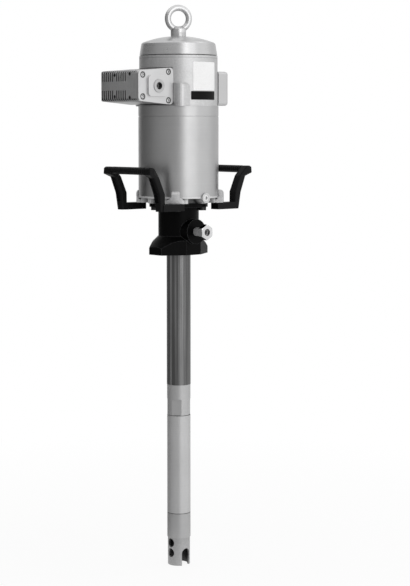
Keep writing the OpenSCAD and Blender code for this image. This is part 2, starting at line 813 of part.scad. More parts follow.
// Air piston with a seal groove and a recess for the nut
module air_piston() {
    nut_recess_r = piston_nut_af / 2 / cos(30) + 1;
    color(turned_grey) difference() {
        rod(motor_bore_r - soft_gap, piston_z, piston_z + piston_h);
        rod(rod_stud_r + fit_gap, piston_z - eps, piston_z + piston_h + eps);
        rod(nut_recess_r, piston_z + piston_h - piston_nut_h - 1, piston_z + piston_h + eps);
        ring(motor_bore_r, motor_bore_r - 5, piston_z + 4, piston_z + 10);
    }
}

module piston_seal() {
    color(seal_black) ring(motor_bore_r - run_gap, motor_bore_r - 5 + fit_gap,
                           piston_z + 4 + fit_gap, piston_z + 10 - fit_gap);
}

module piston_nut() {
    nut_z = piston_z + piston_h - piston_nut_h - 1;
    color(steel_grey) difference() {
        hexagon(piston_nut_af, nut_z, nut_z + piston_nut_h);
        rod(rod_stud_r + fit_gap, nut_z - eps, nut_z + piston_nut_h + eps);
    }
}

// Piston rod: shoulder under the piston, threaded stud above, threaded socket below
module piston_rod() {
    color(steel_grey) difference() {
        union() {
            rod(rod_r, rod_end_z, piston_z);
            rod(rod_stud_r, piston_z - eps, piston_z + piston_h - 0.5);
        }
        rod(connecting_rod_r + fit_gap, rod_end_z - eps, rod_end_z + rod_thread + 1);
    }
}

module connecting_rod() {
    color(steel_grey) rod(connecting_rod_r, plunger_z + plunger_len - rod_thread, rod_end_z + rod_thread);
}

// A pilot pin pointing down: tip, stem and collar
module pilot_pin() {
    translate([pilot_x, 0, 0]) {
        rod(pilot_pin_r, -pilot_proud, pilot_stem + eps);
        rod(pilot_collar_r, pilot_stem + eps, pilot_stem + pilot_collar_h);
    }
}

module pilot_spring() {
    translate([pilot_x, 0, 0]) coil_spring(
        pilot_spring_r, pilot_spring_wire, pilot_spring_turns,
        pilot_stem + pilot_collar_h, pilot_spring_len
    );
}

module upper_pilot_pin() {
    color(steel_grey) translate([0, 0, ceiling_z]) pilot_pin();
}

module upper_pilot_spring() {
    color(steel_grey) translate([0, 0, ceiling_z]) pilot_spring();
}

module lower_pilot_pin() {
    color(steel_grey) translate([0, 0, floor_z]) mirror([0, 0, 1]) pilot_pin();
}

module lower_pilot_spring() {
    color(steel_grey) translate([0, 0, floor_z]) mirror([0, 0, 1]) pilot_spring();
}

// The two screwed plugs that carry the pilot springs
module pilot_plugs() {
    spring_end = pilot_stem + pilot_collar_h + pilot_spring_len;
    color(steel_grey) translate([pilot_x, 0, 0]) {
        rod(pilot_pocket_r - fit_gap, ceiling_z + spring_end, ceiling_z + spring_end + pilot_plug_h);
        rod(pilot_pocket_r - fit_gap, floor_z - spring_end - pilot_plug_h, floor_z - spring_end);
    }
}

// Outline of the valve between two distances from the axis, in X and Z
module valve_outline(x0, x1, r0, r1) {
    h0 = valve_half(x0);
    h1 = valve_half(x1);
    corners = [[-x1, -h1], [-x0, -h0], [-x0, h0], [-x1, h1]];
    translate([0, valve_z]) polygon(rounded(corners, [r1, r0, r0, r1]));
}

module valve_gasket() {
    color(seal_black) difference() {
        translate([0, valve_body_front_y, valve_z - valve_half_in + 1])
            translate([-valve_body_x, 0, 0])
                cube([gasket_t, valve_body_rear_y - valve_body_front_y, 2 * valve_half_in - 2]);
        translate([0, 0, valve_z]) rod_x(upper_passage_r, -valve_body_x - 1, -side_face_x + 1);
        translate([0, gallery_y, gallery_z]) rod_x(gallery_r, -valve_body_x - 1, -side_face_x + 1);
        for (y = mount_screw_ys, s = [-1, 1])
            translate([0, y, valve_z + s * mount_screw_half_z])
                rod_x(mount_screw_r + fit_gap, -valve_body_x - 1, -side_face_x + 1);
    }
}

// Valve body with the sleeve's bore, the supply gallery and the ports
module valve_body() {
    color(cast_grey) difference() {
        prism_y(valve_body_front_y, valve_body_rear_y)
            valve_outline(valve_body_x, muffler_joint, valve_inner_round_r, 0.5);
        translate([-spool_x, 0, valve_z])
            rod_y(sleeve_r + fit_gap, valve_body_front_y - 1, valve_body_rear_y + 1);
        translate([-inlet_x, 0, valve_z])
            rod_y(supply_r, valve_body_front_y - 1, valve_body_front_y + inlet_gallery_len);
        translate([0, inlet_cross_y, valve_z]) rod_x(3, -inlet_x, -spool_x);
        translate([0, 0, valve_z]) rod_x(upper_passage_r, -spool_x, -valve_body_x + 1);
        translate([0, gallery_y, gallery_z]) rod_x(gallery_r, -spool_x, -valve_body_x + 1);
        for (y = [exhaust_y, exhaust_y + exhaust_pitch]) translate([0, y, valve_z]) rod_x(4, -muffler_joint - 1, -spool_x);
        for (y = mount_screw_ys, s = [-1, 1]) translate([0, y, valve_z + s * mount_screw_half_z]) {
            rod_x(mount_screw_r + fit_gap, -muffler_joint - 1, -valve_body_x + 1);
            rod_x(mount_screw_head_r + soft_gap, -muffler_joint - 1, -muffler_joint + mount_screw_head_h);
        }
        for (s = [-1, 1]) translate([-inner_screw_x, 0, valve_z + s * inner_screw_half_z])
            rod_y(cover_screw_r + fit_gap, valve_body_front_y - 1, valve_body_front_y + cover_screw_len);
        for (p = rear_screw_points, s = [-1, 1]) translate([-p[0], 0, valve_z + s * p[1]])
            rod_y(cover_screw_r + fit_gap, valve_body_rear_y - cover_screw_len, valve_body_rear_y + 1);
        for (p = muffler_screw_points, s = [-1, 1])
            translate([0, p[0], valve_z + s * p[1]])
                rod_x(muffler_screw_r + fit_gap, -muffler_joint - 1, -muffler_joint + 8);
    }
}

// Sleeve of the spool, with ring-shaped grooves and cross holes
module valve_sleeve() {
    color(steel_grey) difference() {
        translate([-spool_x, 0, valve_z]) rod_y(sleeve_r, valve_body_front_y, valve_body_rear_y);
        translate([-spool_x, 0, valve_z])
            rod_y(spool_bore_r, valve_body_front_y - 1, valve_body_rear_y + 1);
        for (y = [inlet_cross_y, exhaust_y, exhaust_y + exhaust_pitch])
            translate([0, y, valve_z]) rod_x(3, -spool_x - sleeve_r - 1, -spool_x);
        translate([0, 0, valve_z]) rod_x(3, -spool_x, -spool_x + sleeve_r + 1);
        translate([0, gallery_y, gallery_z + 3.5]) rod_x(2, -spool_x, -spool_x + sleeve_r + 1);
    }
}

// Spool with three lands, two waists and the grooves of its seals
module valve_spool() {
    y0 = valve_body_front_y + soft_gap;
    pitch = (spool_len - spool_land) / 2;
    color(turned_grey) translate([-spool_x, y0, valve_z]) rotate([-90, 0, 0]) difference() {
        rod(spool_r, 0, spool_len);
        for (i = [0, 1]) ring(spool_r + 1, spool_r - 2.5, spool_land + i * pitch, (i + 1) * pitch);
        for (i = [0:2]) ring(spool_r + 1, spool_r - 1.5, i * pitch + 4, i * pitch + 7);
    }
}

module spool_seals() {
    y0 = valve_body_front_y + soft_gap;
    pitch = (spool_len - spool_land) / 2;
    color(seal_black) translate([-spool_x, y0, valve_z]) rotate([-90, 0, 0]) for (i = [0:2])
        ring(spool_r, spool_r - 1.5 + run_gap, i * pitch + 4 + run_gap, i * pitch + 7 - run_gap);
}

// End plate with the raised inlet pad, the port's seat and four counterbored screws
module inlet_cover() {
    pad_y = valve_front_y - inlet_pad_h;
    pad_x = inlet_x + 0.9;
    color(turned_grey) difference() {
        union() {
            prism_y(valve_front_y, valve_body_front_y)
                valve_outline(valve_body_x - 0.5, valve_reach, valve_inner_round_r, valve_round_r);
            prism_y(pad_y, valve_front_y + eps) translate([-pad_x, valve_z]) polygon(rounded(
                rectangle(-inlet_pad_half_x, -inlet_pad_half_z, inlet_pad_half_x, inlet_pad_half_z),
                [6, 6, 6, 6]
            ));
        }
        translate([-inlet_x, 0, valve_z]) rod_y(inlet_bush_r + fit_gap, pad_y - 1, valve_body_front_y + 1);
        cover_screw_holes([[inner_screw_x, inner_screw_half_z], [outer_screw_x, outer_screw_half_z]]);
    }
}

module cover_screw_holes(points) {
    for (p = points, s = [-1, 1]) translate([-p[0], 0, valve_z + s * p[1]]) {
        rod_y(cover_screw_r + fit_gap, valve_front_y - inlet_pad_h - 1, valve_body_front_y + 1);
        rod_y(cover_screw_head_r + 0.7, valve_front_y - inlet_pad_h - 1, valve_front_y + cover_screw_head_h);
    }
}

// Threaded ring of the air inlet
module inlet_bush() {
    proud = 1;
    color(steel_grey) translate([-inlet_x, 0, valve_z]) difference() {
        rod_y(inlet_bush_r, valve_front_y - inlet_pad_h - proud, valve_body_front_y);
        rod_y(port_r, valve_front_y - inlet_pad_h - proud - 1, valve_body_front_y + 1);
    }
}

module inlet_cover_screws() {
    color(steel_grey)
        for (p = [[inner_screw_x, inner_screw_half_z], [outer_screw_x, outer_screw_half_z]], s = [-1, 1])
            translate([-p[0], valve_front_y + cover_screw_head_h, valve_z + s * p[1]]) rotate([-90, 0, 0])
                socket_screw(cover_screw_r, cover_screw_len, cover_screw_head_r, cover_screw_head_h - 0.4);
}

module rear_cover() {
    color(cast_grey) difference() {
        prism_y(valve_body_rear_y, valve_rear_y)
            valve_outline(valve_body_x, muffler_joint - valve_side_gap, valve_inner_round_r, 0.5);
        for (p = rear_screw_points, s = [-1, 1]) translate([-p[0], 0, valve_z + s * p[1]]) {
            rod_y(cover_screw_r + fit_gap, valve_body_rear_y - 1, valve_rear_y + 1);
            rod_y(cover_screw_head_r + fit_gap, valve_rear_y - cover_screw_head_h, valve_rear_y + 1);
        }
    }
}

module rear_cover_screws() {
    color(steel_grey) for (p = rear_screw_points, s = [-1, 1])
        translate([-p[0], valve_rear_y - cover_screw_head_h, valve_z + s * p[1]]) rotate([90, 0, 0])
            socket_screw(cover_screw_r, cover_screw_len, cover_screw_head_r, cover_screw_head_h - 0.4);
}

module valve_mount_screws() {
    color(steel_grey) for (y = mount_screw_ys, s = [-1, 1])
        translate([-muffler_joint + mount_screw_head_h, y, valve_z + s * mount_screw_half_z])
            rotate([0, 90, 0]) socket_screw(
                mount_screw_r, muffler_joint - mount_screw_head_h - side_face_x + mount_screw_grip,
                mount_screw_head_r, mount_screw_head_h - 0.3
            );
}

// Slotted cover of the exhaust muffler, with two rows of slots round its edges
module muffler_cover() {
    x0 = muffler_joint;
    inner_half = valve_half(x0) - muffler_wall;
    outer_half = valve_half_out - muffler_wall;
    end_r = 6;
    color([0.42, 0.42, 0.43]) difference() {
        intersection() {
            prism_y(valve_body_front_y, valve_rear_y) valve_outline(x0, valve_reach, 0.5, valve_round_r);
            translate([0, 0, valve_z - valve_half_in]) linear_extrude(height = 2 * valve_half_in)
                polygon(rounded(
                    rectangle(-valve_reach, valve_body_front_y, -x0, valve_rear_y), [0.2, 0.2, 0.2, end_r]
                ));
        }
        difference() {
            prism_y(muffler_front_y, valve_rear_y - muffler_wall) translate([0, valve_z]) polygon([
                [-muffler_inner_x, -outer_half], [-x0 + 1, -inner_half], [-x0 + 1, inner_half],
                [-muffler_inner_x, outer_half]
            ]);
            for (s = [-1, 1]) translate([0, muffler_post[0], valve_z + s * muffler_post[1]])
                rod_x(muffler_post_r, -valve_reach, -x0);
        }
        for (i = [0:slot_count - 1], s = [-1, 1])
            if (abs(slot_first_y + i * slot_pitch - muffler_post[0]) > 1)
                translate([-valve_reach - 1, slot_first_y + i * slot_pitch - slot_w / 2,
                           valve_z + (s > 0 ? slot_band_half : -valve_half_in)])
                    cube([1 + slot_depth, slot_w, valve_half_in - slot_band_half]);
        for (p = muffler_screw_points, s = [-1, 1]) translate([0, p[0], valve_z + s * p[1]]) {
            rod_x(muffler_screw_r + fit_gap, -valve_reach - 1, -x0 + 1);
            rod_x(muffler_screw_head_r + fit_gap, -valve_reach - 1, -valve_reach + 2);
        }
        for (s = [-1, 1]) translate([-outer_screw_x, 0, valve_z + s * outer_screw_half_z])
            rod_y(cover_screw_r + fit_gap, valve_body_front_y - 1, valve_body_front_y + cover_screw_len);
    }
}

module muffler_felt() {
    half_z = valve_half_out - muffler_wall - 1;
    color([0.16, 0.16, 0.16]) difference() {
        translate([-muffler_inner_x + soft_gap, muffler_front_y + soft_gap, valve_z - half_z]) cube([
            muffler_inner_x - muffler_joint - 2 * soft_gap,
            valve_rear_y - muffler_wall - muffler_front_y - 2 * soft_gap,
            2 * half_z
        ]);
        for (s = [-1, 1]) translate([0, muffler_post[0], valve_z + s * muffler_post[1]])
            rod_x(muffler_post_r + soft_gap, -valve_reach, -muffler_joint);
    }
}

module muffler_screws() {
    color([0.2, 0.2, 0.2]) for (p = muffler_screw_points, s = [-1, 1])
        translate([-valve_reach + 2, p[0], valve_z + s * p[1]]) rotate([0, 90, 0])
            socket_screw(muffler_screw_r, valve_reach - 2 - muffler_joint + 7, muffler_screw_head_r, 1.8);
}

module transfer_gasket() {
    color(seal_black) difference() {
        prism_x(side_face_x, valve_body_x) translate([0, transfer_z]) difference() {
            square([2 * transfer_half_y - 4, 2 * transfer_half_z - 1], center = true);
            square([2 * (transfer_screw_y - 4.5), 2 * (transfer_half_z - 5)], center = true);
        }
        for (y = [-1, 1], s = [-1, 1])
            translate([0, y * transfer_screw_y, transfer_z + s * transfer_screw_half_z])
                rod_x(transfer_screw_r + fit_gap, side_face_x - 1, valve_body_x + 1);
        translate([0, gallery_y, gallery_z]) rod_x(gallery_r, side_face_x - 1, valve_body_x + 1);
    }
}

// Rounded box with an air space behind it
module transfer_cover() {
    r = transfer_round_r;
    color(cast_grey) difference() {
        hull() for (y = [-1, 1], s = [-1, 1])
            translate([0, y * (transfer_half_y - r), transfer_z + s * (transfer_half_z - r)]) {
                translate([valve_body_x, 0, 0]) rotate([0, 90, 0])
                    cylinder(r = r, h = transfer_reach - r - valve_body_x, $fn = 32);
                translate([transfer_reach - r, 0, 0]) rotate([0, 90, 0]) sphere(r = r, $fn = 32);
            }
        difference() {
            prism_x(valve_body_x - 1, transfer_reach - transfer_wall) translate([0, transfer_z])
                square([2 * (transfer_half_y - transfer_wall), 2 * transfer_half_in_z], center = true);
            for (y = [-1, 1], s = [-1, 1])
                translate([0, y * transfer_screw_y, transfer_z + s * transfer_screw_half_z])
                    rod_x(transfer_post_r, valve_body_x - 2, transfer_reach);
        }
        for (y = [-1, 1], s = [-1, 1])
            translate([0, y * transfer_screw_y, transfer_z + s * transfer_screw_half_z]) {
                rod_x(transfer_screw_r + fit_gap, valve_body_x - 1, transfer_reach + 1);
                rod_x(transfer_screw_head_r + fit_gap, transfer_reach - 3, transfer_reach + 1);
            }
        translate([wall_gallery_x, 0, 0])
            rod(wall_gallery_r, transfer_z - transfer_half_z - 1, transfer_z - transfer_half_in_z + 1);
    }
}

module transfer_cover_screws() {
    color(steel_grey) for (y = [-1, 1], s = [-1, 1])
        translate([transfer_reach - 3, y * transfer_screw_y, transfer_z + s * transfer_screw_half_z])
            rotate([0, -90, 0])
                socket_screw(transfer_screw_r, transfer_reach + 5 - side_face_x, transfer_screw_head_r, 2.8);
}

// A thin rounded slab of a handle's leg at height z
module leg_section(x, y, z, t, w) {
    translate([x, y, z]) linear_extrude(height = 0.5)
        polygon(rounded(rectangle(-t / 2, -w / 2, t / 2, w / 2), [3, 3, 3, 3]));
}

// One handle: ribbed grip along Y, two legs bent at a shoulder and a knee, two feet under the lugs
module handle() {
    grip_z = seat_z + grip_rise;
    shoulder_x = grip_x - shoulder_inset;
    shoulder_low_z = grip_z - shoulder_drop;
    knee_x = leg_foot_x + knee_offset;
    knee_z = grip_z - knee_drop;
    foot_low_z = body_h - handle_foot_h;
    leg_foot_t = leg_t * 0.88;
    leg_foot_w = leg_w * 0.8;
    end_y = grip_half - leg_w / 2;
    pocket = leg_t / 2 - 2.5;
    rib_n = floor((2 * grip_half - 2 * leg_w) / grip_rib_pitch);
    color(mould_black) difference() {
        union() {
            translate([grip_x, 0, grip_z]) {
                rod_y(grip_r - 0.7, -end_y, end_y);
                for (i = [0:rib_n - 1])
                    translate([0, (i - (rib_n - 1) / 2) * grip_rib_pitch, 0])
                        rod_y(grip_r, -grip_rib_pitch * 0.3, grip_rib_pitch * 0.3);
            }
            for (s = [-1, 1]) {
                hull() {
                    leg_section(grip_x, s * end_y, grip_z + grip_r - 0.8, leg_t - 5, leg_w - 5);
                    leg_section(grip_x, s * end_y, grip_z + grip_r - 3, leg_t - 0.8, leg_w - 0.8);
                    leg_section(grip_x, s * end_y, grip_z - grip_r + 0.5, leg_t, leg_w);
                    leg_section(shoulder_x, s * leg_foot_y, shoulder_low_z, leg_t, leg_w * 0.9);
                }
                hull() {
                    leg_section(shoulder_x, s * leg_foot_y, shoulder_low_z, leg_t, leg_w * 0.9);
                    leg_section(knee_x, s * leg_foot_y, knee_z, leg_t, leg_w);
                }
                hull() {
                    leg_section(knee_x, s * leg_foot_y, knee_z, leg_t, leg_w);
                    leg_section(leg_foot_x, s * leg_foot_y, foot_low_z, leg_foot_t, leg_foot_w);
                }
                translate([foot_end_x, s * leg_foot_y - leg_w / 2, foot_low_z])
                    cube([leg_foot_x - foot_end_x, leg_w, handle_foot_h]);
            }
        }
        for (s = [-1, 1]) {
            prism_y(s * leg_foot_y - leg_w / 4, s * leg_foot_y + leg_w / 4) polygon([
                [shoulder_x + pocket, shoulder_low_z], [knee_x + pocket, knee_z],
                [leg_foot_x + pocket, body_h + 2], [leg_foot_x + leg_t, body_h + 2],
                [knee_x + leg_t, knee_z], [shoulder_x + leg_t, shoulder_low_z]
            ]);
            translate([handle_screw_x, s * handle_screw_y, 0]) {
                rod(handle_screw_r + fit_gap, foot_low_z - 1, body_h + 1);
                rod(handle_screw_head_r + fit_gap, foot_low_z - 1, foot_low_z + handle_screw_head_h + 0.2);
            }
        }
    }
}

module handle_right() {
    handle();
}

module handle_left() {
    mirror([1, 0, 0]) handle();
}

module handle_screws() {
    head_z0 = body_h - handle_foot_h + handle_screw_head_h + 0.2;
    color(steel_grey) for (x = [-1, 1], y = [-1, 1])
        translate([x * handle_screw_x, y * handle_screw_y, head_z0])
            socket_screw(
                handle_screw_r, body_h - head_z0 + handle_screw_grip, handle_screw_head_r, handle_screw_head_h
            );
}

// Outline of the lower flange: a long octagon
function flange_outline() =
    let (x = flange_half_x, y = flange_half_y, e = flange_end_half)
    [[x, -e], [x, e], [e, y], [-e, y], [-x, e], [-x, -e], [-e, -y], [e, -y]];

// Black casting: chamfered lower flange, neck, outlet boss and upper flange
module outlet_body() {
    rim_r = norm([flange_half_x, flange_end_half]);
    color(cast_black) difference() {
        union() {
            intersection() {
                linear_extrude(height = cone_top_z) polygon(flange_outline());
                rotate_extrude() polygon([
                    [0, 0], [rim_r + 1, 0], [rim_r + 1, cone_top_z - (rim_r + 1 - neck_r)],
                    [neck_r, cone_top_z], [0, cone_top_z]
                ]);
            }
            rod(neck_r, cone_top_z - 1, body_h);
            rod(top_flange_r, body_h - top_flange_t, body_h);
            translate([0, 0, outlet_z]) rod_y(outlet_boss_r, -outlet_boss_y, 0);
        }
        rod(tube_thread_r + fit_gap, -eps, tube_grip + soft_gap);
        translate([0, 0, -eps]) cylinder(r1 = tube_r + soft_gap, r2 = tube_thread_r, h = 1.2);
        rod(chamber_r, tube_grip, chamber_top_z);
        rod(rod_hole_r, chamber_top_z - 1, packing_z + 1);
        rod(packing_r, packing_z, body_h + eps);
        translate([0, 0, outlet_z]) {
            rod_y(nipple_bore_r, -outlet_boss_y + 1, 0);
            rod_y(nipple_r + fit_gap, -outlet_boss_y - 1, -outlet_boss_y + nipple_thread);
        }
        for (a = [45:90:315]) rotate([0, 0, a]) translate([body_screw_circle_r, 0, body_h - top_flange_t]) {
            rod(body_screw_r + fit_gap, -1, top_flange_t + 1);
            rod(body_screw_head_r + soft_gap, -body_screw_head_h - 1, 0);
        }
    }
}

module outlet_body_screws() {
    color(mould_black) for (a = [45:90:315])
        rotate([0, 0, a]) translate([body_screw_circle_r, 0, body_h - top_flange_t])
            socket_screw(body_screw_r, top_flange_t + body_screw_grip, body_screw_head_r, body_screw_head_h);
}

// Stack of packing rings round the piston rod
module rod_packing() {
    color(seal_black) for (i = [0:packing_rings - 1])
        ring(
            packing_r - fit_gap, rod_r + run_gap,
            packing_z + i * packing_ring_h + 0.05, packing_z + (i + 1) * packing_ring_h
        );
}

module packing_gland() {
    z0 = packing_z + packing_rings * packing_ring_h;
    color(steel_grey) difference() {
        ring(packing_r - fit_gap, rod_hole_r, z0, z0 + gland_h);
        for (a = [0, 90]) rotate([0, 0, a])
            translate([-packing_r, -1.5, z0 + gland_h - 2]) cube([2 * packing_r, 3, 3]);
    }
}

module outlet_nipple() {
    y_end = -outlet_boss_y - nipple_gap - nipple_in_hex;
    color([0.45, 0.45, 0.46]) translate([0, 0, outlet_z]) difference() {
        rod_y(nipple_r, y_end, -outlet_boss_y + nipple_thread);
        rod_y(nipple_bore_r, y_end - 1, -outlet_boss_y + nipple_thread + 1);
    }
}

// Bright hexagon with a threaded bore
module outlet_fitting() {
    y0 = -outlet_boss_y - nipple_gap;
    chamfer_r = outlet_hex_af / 2 + 0.2;
    color([0.85, 0.85, 0.86]) translate([0, y0, outlet_z]) rotate([90, 0, 0]) difference() {
        intersection() {
            rotate([0, 0, 30]) hexagon(outlet_hex_af, 0, outlet_hex_len);
            rotate_extrude() polygon([
                [0, 0], [chamfer_r, 0], [chamfer_r + 2, 1.2], [chamfer_r + 2, outlet_hex_len - 1.2],
                [chamfer_r, outlet_hex_len], [0, outlet_hex_len]
            ]);
        }
        rod(nipple_r + fit_gap, -eps, nipple_in_hex);
        rod(port_r, nipple_in_hex - eps, outlet_hex_len + eps);
    }
}

module suction_tube() {
    color(dark_steel) difference() {
        union() {
            rod(tube_r, -tube_len, 0);
            rod(tube_thread_r, -eps, tube_grip);
        }
        rod(tube_bore_r, -tube_len - eps, tube_grip + eps);
    }
}

// Coupling between the suction tube and the pump cylinder, with four wrench flats
module tube_coupling() {
    half_af = coupling_af / 2;
    color(turned_grey) difference() {
        union() {
            rod(pump_r, coupling_z + coupling_flats_len, -tube_len);
            intersection() {
                rod(pump_r, coupling_z, coupling_z + coupling_flats_len + eps);
                rotate([0, 0, 38]) translate([-half_af, -half_af, coupling_z])
                    cube([coupling_af, coupling_af, coupling_flats_len + 1]);
            }
            rod(tube_bore_r - fit_gap, -tube_len - eps, -tube_len + spigot_len);
        }
        rod(coupling_bore_r, coupling_z - eps, -tube_len + spigot_len + eps);
        rod(pump_bore_r + 2.5 + fit_gap, coupling_z - eps, coupling_z + spigot_len + soft_gap);
    }
}

module pump_cylinder() {
    color(turned_grey) difference() {
        union() {
            rod(pump_r, pump_z, coupling_z);
            rod(pump_bore_r + 2.5, coupling_z - eps, coupling_z + spigot_len);
        }
        rod(pump_bore_r, pump_z - eps, coupling_z + spigot_len + eps);
        ring(pump_r + 1, pump_r - joint_groove, coupling_z - 1, coupling_z + eps);
        ring(pump_r + 1, pump_r - joint_groove, pump_z - eps, pump_z + 1);
        rod(pump_bore_r + 2.5 + fit_gap, pump_z - eps, pump_z + plunger_rise - 3);
    }
}

// Plunger cage with its ball chamber, flow holes and the rod's socket
module plunger() {
    z0 = plunger_z + 12;
    top = plunger_z + plunger_len;
    ball_z = seat_top() + ball_height(plunger_ball_r, plunger_seat_r);
    roof = ball_z + plunger_ball_r + plunger_ball_lift + 0.2;
    color(turned_grey) difference() {
        rod(pump_bore_r - soft_gap, z0, top);
        rod(plunger_neck_r() + fit_gap, z0 - eps, seat_top() + soft_gap);
        rod(plunger_ball_r + 2, seat_top(), roof);
        rod(connecting_rod_r + fit_gap, top - rod_thread - 0.5, top + eps);
        for (a = [0:90:270]) rotate([0, 0, a]) translate([plunger_ball_r + 2, 0, 0])
            rod(1.9, roof - 6, top + eps);
    }
}

function plunger_neck_r() = plunger_ball_r + 3.6;
function seat_top() = plunger_z + plunger_seat_rise;
// Height of a ball's centre above the edge of the hole it sits on, with a small gap
function ball_height(ball_r, hole_r) = sqrt(pow(ball_r, 2) - pow(hole_r, 2)) + 0.2;

module plunger_seal() {
    color(seal_black)
        ring(pump_bore_r - run_gap, plunger_neck_r() + fit_gap, plunger_z + 6, plunger_z + 12);
}

// Screwed seat under the plunger
module plunger_seat() {
    color(steel_grey) difference() {
        union() {
            rod(pump_bore_r - soft_gap, plunger_z, plunger_z + 6);
            rod(plunger_neck_r(), plunger_z, seat_top());
        }
        rod(plunger_seat_r, plunger_z - eps, seat_top() + eps);
    }
}

module plunger_ball() {
    color([0.8, 0.8, 0.82]) translate([0, 0, seat_top() + ball_height(plunger_ball_r, plunger_seat_r)])
        sphere(r = plunger_ball_r);
}

// Foot valve body: spigot into the pump cylinder, ball chamber and the seat's pocket
module foot_valve_body() {
    seat_z1 = foot_valve_z + foot_seat_h + foot_seat_h;
    color(turned_grey) difference() {
        union() {
            rod(pump_r, foot_valve_z, pump_z);
            rod(pump_bore_r + 2.5, pump_z - eps, pump_z + plunger_rise - 3 - soft_gap);
        }
        rod(foot_chamber_r, foot_valve_z - eps, pump_z + plunger_rise);
        rod(pump_bore_r + fit_gap, foot_valve_z - eps, seat_z1 + soft_gap);
        translate([0, 0, stop_pin_z()]) rod_y(stop_pin_r + run_gap, -pump_bore_r - 3, pump_bore_r + 3);
    }
}

function foot_seat_top() = foot_valve_z + 2 * foot_seat_h;
function foot_ball_z() = foot_seat_top() + ball_height(foot_ball_r, foot_seat_r);
function stop_pin_z() = foot_ball_z() + foot_ball_r + foot_ball_lift + stop_pin_r + 0.2;

module foot_valve_seat() {
    color(steel_grey) ring(pump_bore_r, foot_seat_r, foot_valve_z + foot_seat_h, foot_seat_top());
}

module foot_ball() {
    color([0.8, 0.8, 0.82]) translate([0, 0, foot_ball_z()]) sphere(r = foot_ball_r);
}

module foot_ball_stop() {
    color(steel_grey) translate([0, 0, stop_pin_z()])
        rod_y(stop_pin_r, -pump_bore_r - 1.5, pump_bore_r + 1.5);
}

// Suction foot: round holes on the -X side, an arched slot on the -Y side
module suction_foot() {
    inner_r = foot_r - foot_wall;
    arch_z = foot_z + foot_slot_h - foot_slot_w / 2;
    color(turned_grey) difference() {
        union() {
            rod(foot_r, foot_z, foot_valve_z);
            rod(pump_bore_r, foot_valve_z - eps, foot_valve_z + foot_seat_h - soft_gap);
        }
        rod(foot_seat_r + 3.5, foot_valve_z - 5, foot_valve_z + foot_seat_h);
        rod(inner_r, foot_z - eps, foot_valve_z - 3);
        for (i = [0, 1]) translate([0, 0, foot_valve_z - foot_hole_drop - i * foot_hole_pitch])
            rod_x(foot_hole_r, -foot_r - 1, 0);
        translate([0, 0, arch_z]) rod_y(foot_slot_w / 2, -foot_r - 1, 0);
        translate([-foot_slot_w / 2, -foot_r - 1, foot_z - 1])
            cube([foot_slot_w, foot_r + 1, arch_z - foot_z + 1]);
    }
}

eye_bolt();
top_cap();
cap_seal();
motor_head();
head_seal();
motor_cylinder();
base_casting();
base_seal();
passage_plug();
rod_bush();
rod_seal();
air_piston();
piston_seal();
piston_nut();
piston_rod();
connecting_rod();
upper_pilot_pin();
upper_pilot_spring();
lower_pilot_pin();
lower_pilot_spring();
pilot_plugs();
valve_gasket();
valve_body();
valve_sleeve();
valve_spool();
spool_seals();
inlet_cover();
inlet_bush();
inlet_cover_screws();
rear_cover();
rear_cover_screws();
valve_mount_screws();
muffler_cover();
muffler_felt();
muffler_screws();
transfer_gasket();
transfer_cover();
transfer_cover_screws();
handle_left();
handle_right();
handle_screws();
outlet_body();
outlet_body_screws();
rod_packing();
packing_gland();
outlet_nipple();
outlet_fitting();
suction_tube();
tube_coupling();
pump_cylinder();
plunger();
plunger_seal();
plunger_seat();
plunger_ball();
foot_valve_body();
foot_valve_seat();
foot_ball();
foot_ball_stop();
suction_foot();
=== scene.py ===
import json
import math

import bpy
from mathutils import Matrix, Vector


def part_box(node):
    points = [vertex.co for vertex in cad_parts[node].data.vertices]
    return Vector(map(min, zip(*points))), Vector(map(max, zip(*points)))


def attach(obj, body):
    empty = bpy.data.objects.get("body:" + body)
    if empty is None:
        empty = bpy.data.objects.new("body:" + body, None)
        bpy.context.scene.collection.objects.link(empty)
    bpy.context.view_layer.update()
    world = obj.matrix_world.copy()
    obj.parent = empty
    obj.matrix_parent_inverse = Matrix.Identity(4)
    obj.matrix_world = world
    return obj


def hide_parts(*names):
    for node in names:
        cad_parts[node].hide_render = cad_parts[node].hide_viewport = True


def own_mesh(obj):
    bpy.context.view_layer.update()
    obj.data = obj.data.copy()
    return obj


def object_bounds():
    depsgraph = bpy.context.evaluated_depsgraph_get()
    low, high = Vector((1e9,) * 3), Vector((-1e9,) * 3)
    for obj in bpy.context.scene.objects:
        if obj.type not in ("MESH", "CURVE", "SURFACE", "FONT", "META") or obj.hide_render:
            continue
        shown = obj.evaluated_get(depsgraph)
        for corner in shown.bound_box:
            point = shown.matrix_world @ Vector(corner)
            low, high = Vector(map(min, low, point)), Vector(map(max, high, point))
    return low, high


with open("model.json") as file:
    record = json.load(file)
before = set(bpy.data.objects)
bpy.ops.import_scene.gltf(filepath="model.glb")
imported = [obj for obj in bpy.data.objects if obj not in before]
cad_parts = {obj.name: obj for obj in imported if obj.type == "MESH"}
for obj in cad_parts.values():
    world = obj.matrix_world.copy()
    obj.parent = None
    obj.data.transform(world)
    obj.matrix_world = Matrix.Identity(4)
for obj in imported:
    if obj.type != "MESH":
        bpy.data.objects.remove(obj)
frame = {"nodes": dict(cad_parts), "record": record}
cad_box = [list(v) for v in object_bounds()]
nodes = frame["nodes"]
scene = bpy.context.scene

# Directions of the picture: towards the viewer, and to the picture's right
TOWARD = Vector((-0.656, -0.755, 0)).normalized()
RIGHT = Vector((0.755, -0.656, 0)).normalized()

# Heights, and distances from the pump's axis, in metres
VALVE_Z = 0.2705
CAP_SEAM_Z = 0.3212
HEAD_LINE_Z = 0.3162
HEAD_RADIUS = 0.06345

